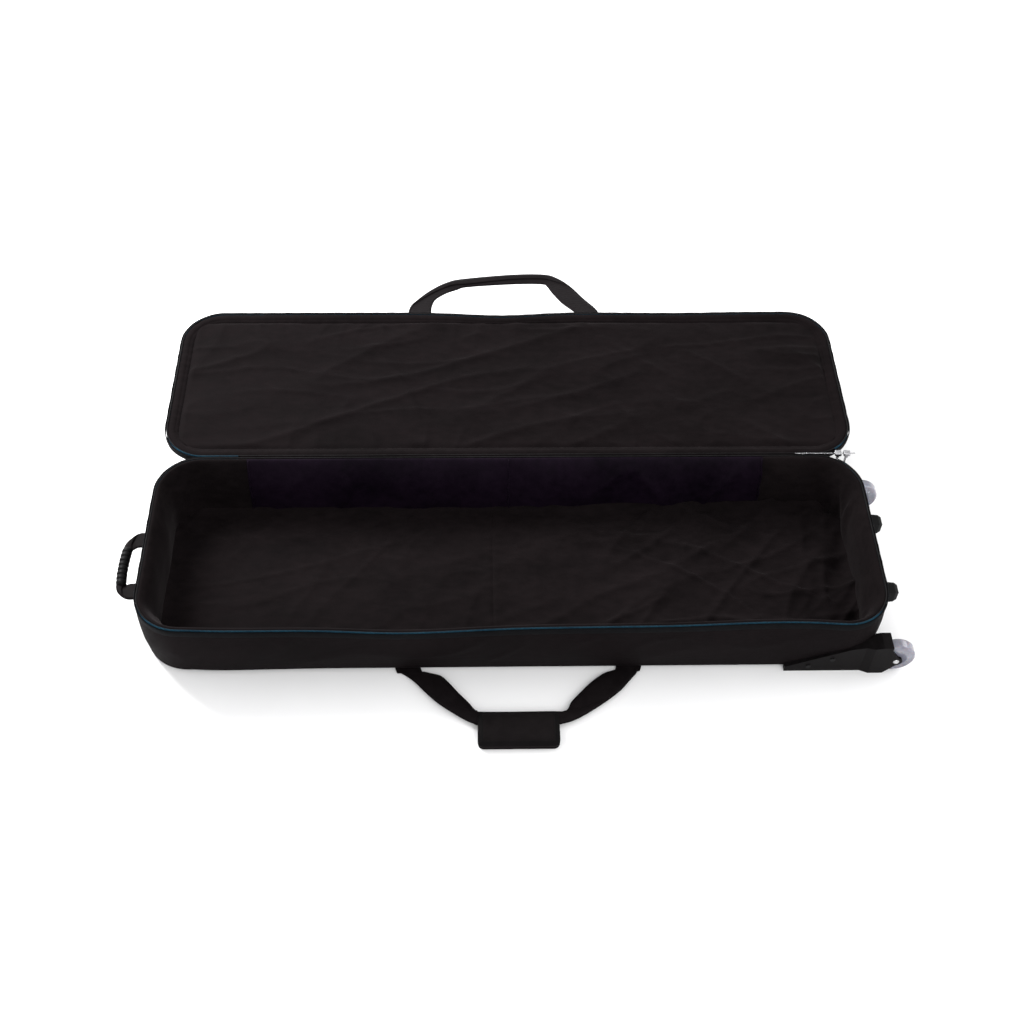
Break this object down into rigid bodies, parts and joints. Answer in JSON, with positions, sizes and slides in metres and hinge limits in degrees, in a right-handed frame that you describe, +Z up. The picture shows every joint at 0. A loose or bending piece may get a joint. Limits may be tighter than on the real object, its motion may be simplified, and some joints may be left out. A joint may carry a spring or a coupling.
{
  "type": "wheeled soft case",
  "caption": "Long shallow padded soft case with a hinged lid thrown open, two wheels at one end, a haul handle at the other and two webbing carry straps.",
  "frame": {"origin": "middle of the tub's underside, on the surface it stands on", "axes": "+X along the case to the wheel end, +Y to the hinge and the open lid, +Z up"},
  "size_m": [1.5775, 1.2235, 0.152],
  "materials": {
    "outer_fabric": "matte",
    "plush_lining": "matte",
    "smooth_lining": "satin",
    "foam": "matte",
    "board": "matte",
    "binding": "satin",
    "zip_tape": "matte",
    "zip_coil_blue": "gloss",
    "zip_metal": "polished",
    "housing_plastic": "satin",
    "foot_plastic": "satin",
    "wheel_tyre": "gloss",
    "wheel_hub": "gloss",
    "steel": "satin",
    "grip_rubber": "satin",
    "webbing": "satin",
    "wrap_fabric": "satin",
    "hook_tape": "matte"
  },
  "bodies": {
    "tub": {"base_panel": "outer_fabric", "base_board": "board", "base_foam": "foam", "floor_lining_left": "plush_lining", "floor_lining_right": "plush_lining", "front_wall_foam": "foam", "back_wall_foam": "foam", "left_wall_foam": "foam", "right_wall_foam": "foam", "end_plate": "board", "side_gusset": "outer_fabric", "front_wall_lining": "plush_lining", "left_wall_lining": "plush_lining", "right_wall_lining": "plush_lining", "back_panel_left": "smooth_lining", "back_panel_right": "smooth_lining", "rim_binding": "binding", "body_zip_tape": "zip_tape", "body_zip_coil": "zip_coil_blue", "zip_chain_closed": "zip_coil_blue", "hinge_web_tub": "outer_fabric", "wheel_housing_front": "housing_plastic", "wheel_housing_rear": "housing_plastic", "axle_front": "steel", "axle_rear": "steel", "housing_screws": "steel", "stand_foot_front": "foot_plastic", "stand_foot_rear": "foot_plastic", "foot_screws": "steel", "haul_anchors": "webbing", "front_strap_anchors": "webbing"},
    "lid": {"lid_panel": "outer_fabric", "lid_board": "board", "lid_foam": "foam", "lid_lining": "plush_lining", "lid_edge_foam": "foam", "lid_gusset": "outer_fabric", "lid_rim_binding": "binding", "lid_strap_anchors": "webbing", "lid_zip_tape": "zip_tape", "lid_zip_coil": "zip_coil_blue", "hinge_web_lid": "outer_fabric"},
    "front_strap": {"front_strap_webbing": "webbing", "wrap_base": "wrap_fabric", "wrap_hook_tape": "hook_tape"},
    "wrap_flap": {"wrap_flap": "wrap_fabric"},
    "lid_strap": {"lid_strap_webbing": "webbing"},
    "haul_handle": {"haul_grip": "grip_rubber", "haul_webbing": "webbing"},
    "front_wheel": {"wheel_tyre_front": "wheel_tyre", "wheel_hub_front": "wheel_hub", "wheel_bearings_front": "steel"},
    "rear_wheel": {"wheel_tyre_rear": "wheel_tyre", "wheel_hub_rear": "wheel_hub", "wheel_bearings_rear": "steel"},
    "slider_inner": {"zip_slider_inner": "zip_metal"},
    "slider_outer": {"zip_slider_outer": "zip_metal"},
    "pull_inner": {"zip_pull_inner": "zip_metal"},
    "pull_outer": {"zip_pull_outer": "zip_metal"}
  },
  "joints": [
    {"name": "lid_hinge", "type": "hinge", "parent": "tub", "child": "lid", "pos_m": [0, 0.217, 0.148], "axis": [1, 0, 0], "range_deg": [0, 180]},
    {"name": "front_strap_lift", "type": "hinge", "parent": "tub", "child": "front_strap", "pos_m": [0, -0.222, 0.003], "axis": [-1, 0, 0], "range_deg": [0, 75]},
    {"name": "wrap_flap_fold", "type": "hinge", "parent": "front_strap", "child": "wrap_flap", "pos_m": [0, -0.322, 0.0113], "axis": [1, 0, 0], "range_deg": [-150, 0]},
    {"name": "lid_strap_swing", "type": "hinge", "parent": "lid", "child": "lid_strap", "pos_m": [0, 0.655, 0.129], "axis": [-1, 0, 0], "range_deg": [-80, 50]},
    {"name": "haul_handle_swing", "type": "hinge", "parent": "tub", "child": "haul_handle", "pos_m": [-0.731, 0, 0.075], "axis": [0, 1, 0], "range_deg": [-70, 70]},
    {"name": "front_wheel_spin", "type": "hinge", "parent": "tub", "child": "front_wheel", "pos_m": [0.748, -0.212, 0.039], "axis": [0, 1, 0], "continuous": true},
    {"name": "rear_wheel_spin", "type": "hinge", "parent": "tub", "child": "rear_wheel", "pos_m": [0.748, 0.194, 0.039], "axis": [0, 1, 0], "continuous": true},
    {"name": "slider_inner_slide", "type": "slide", "parent": "tub", "child": "slider_inner", "axis": [1, 0, 0], "range_m": [-0.01, 0]},
    {"name": "slider_outer_slide", "type": "slide", "parent": "tub", "child": "slider_outer", "axis": [1, 0, 0], "range_m": [0, 0.009]},
    {"name": "pull_inner_swing", "type": "hinge", "parent": "slider_inner", "child": "pull_inner", "pos_m": [0.688, 0.217, 0.1414], "axis": [0, 1, 0], "range_deg": [-15, 30]},
    {"name": "pull_outer_swing", "type": "hinge", "parent": "slider_outer", "child": "pull_outer", "pos_m": [0.706, 0.217, 0.1414], "axis": [0, 1, 0], "range_deg": [-80, 10]}
  ]
}
